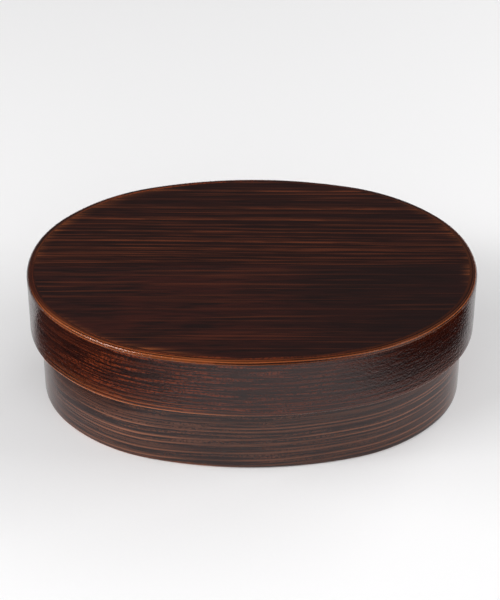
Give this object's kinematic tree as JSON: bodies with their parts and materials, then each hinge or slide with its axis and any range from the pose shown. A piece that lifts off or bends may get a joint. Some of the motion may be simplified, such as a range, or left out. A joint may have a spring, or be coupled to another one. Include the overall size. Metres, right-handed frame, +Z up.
{
  "type": "oval lacquered bento box",
  "caption": "Oval bentwood lunch box, dark wiped lacquer over open grain, with a deep overlapping lift-off lid, bark-laced seams and a loose divider.",
  "frame": {"origin": "centre of the box's underside", "axes": "+X along the oval's long axis, +Y to the back where the hoops are laced, +Z up"},
  "size_m": [0.185, 0.1252, 0.0595],
  "materials": {
    "lid_hoop_lacquer": "wiped lacquer, satin, reddish fine grain",
    "front_plank_lacquer": "wiped lacquer, satin, dark cloudy grain",
    "back_plank_lacquer": "wiped lacquer, satin, streaky grain",
    "box_hoop_lacquer": "wiped lacquer, satin, few growth lines",
    "bottom_lacquer": "wiped lacquer, satin",
    "bark": "polished bark",
    "divider_lacquer": "wiped lacquer, satin"
  },
  "bodies": {
    "box": {"box_hoop": "box_hoop_lacquer", "bottom_plank_front": "bottom_lacquer", "bottom_plank_back": "bottom_lacquer", "box_seam_lacing": "bark"},
    "lid": {"lid_hoop": "lid_hoop_lacquer", "lid_top_plank_front": "front_plank_lacquer", "lid_top_plank_back": "back_plank_lacquer", "lid_seam_lacing": "bark"},
    "divider": {"divider_board": "divider_lacquer"}
  },
  "joints": [
    {"name": "lid_lift", "type": "slide", "parent": "box", "child": "lid", "axis": [0, 0, 1], "range_m": [0, 0.1]},
    {"name": "divider_slide", "type": "slide", "parent": "box", "child": "divider", "axis": [1, 0, 0], "range_m": [-0.04, 0]}
  ]
}
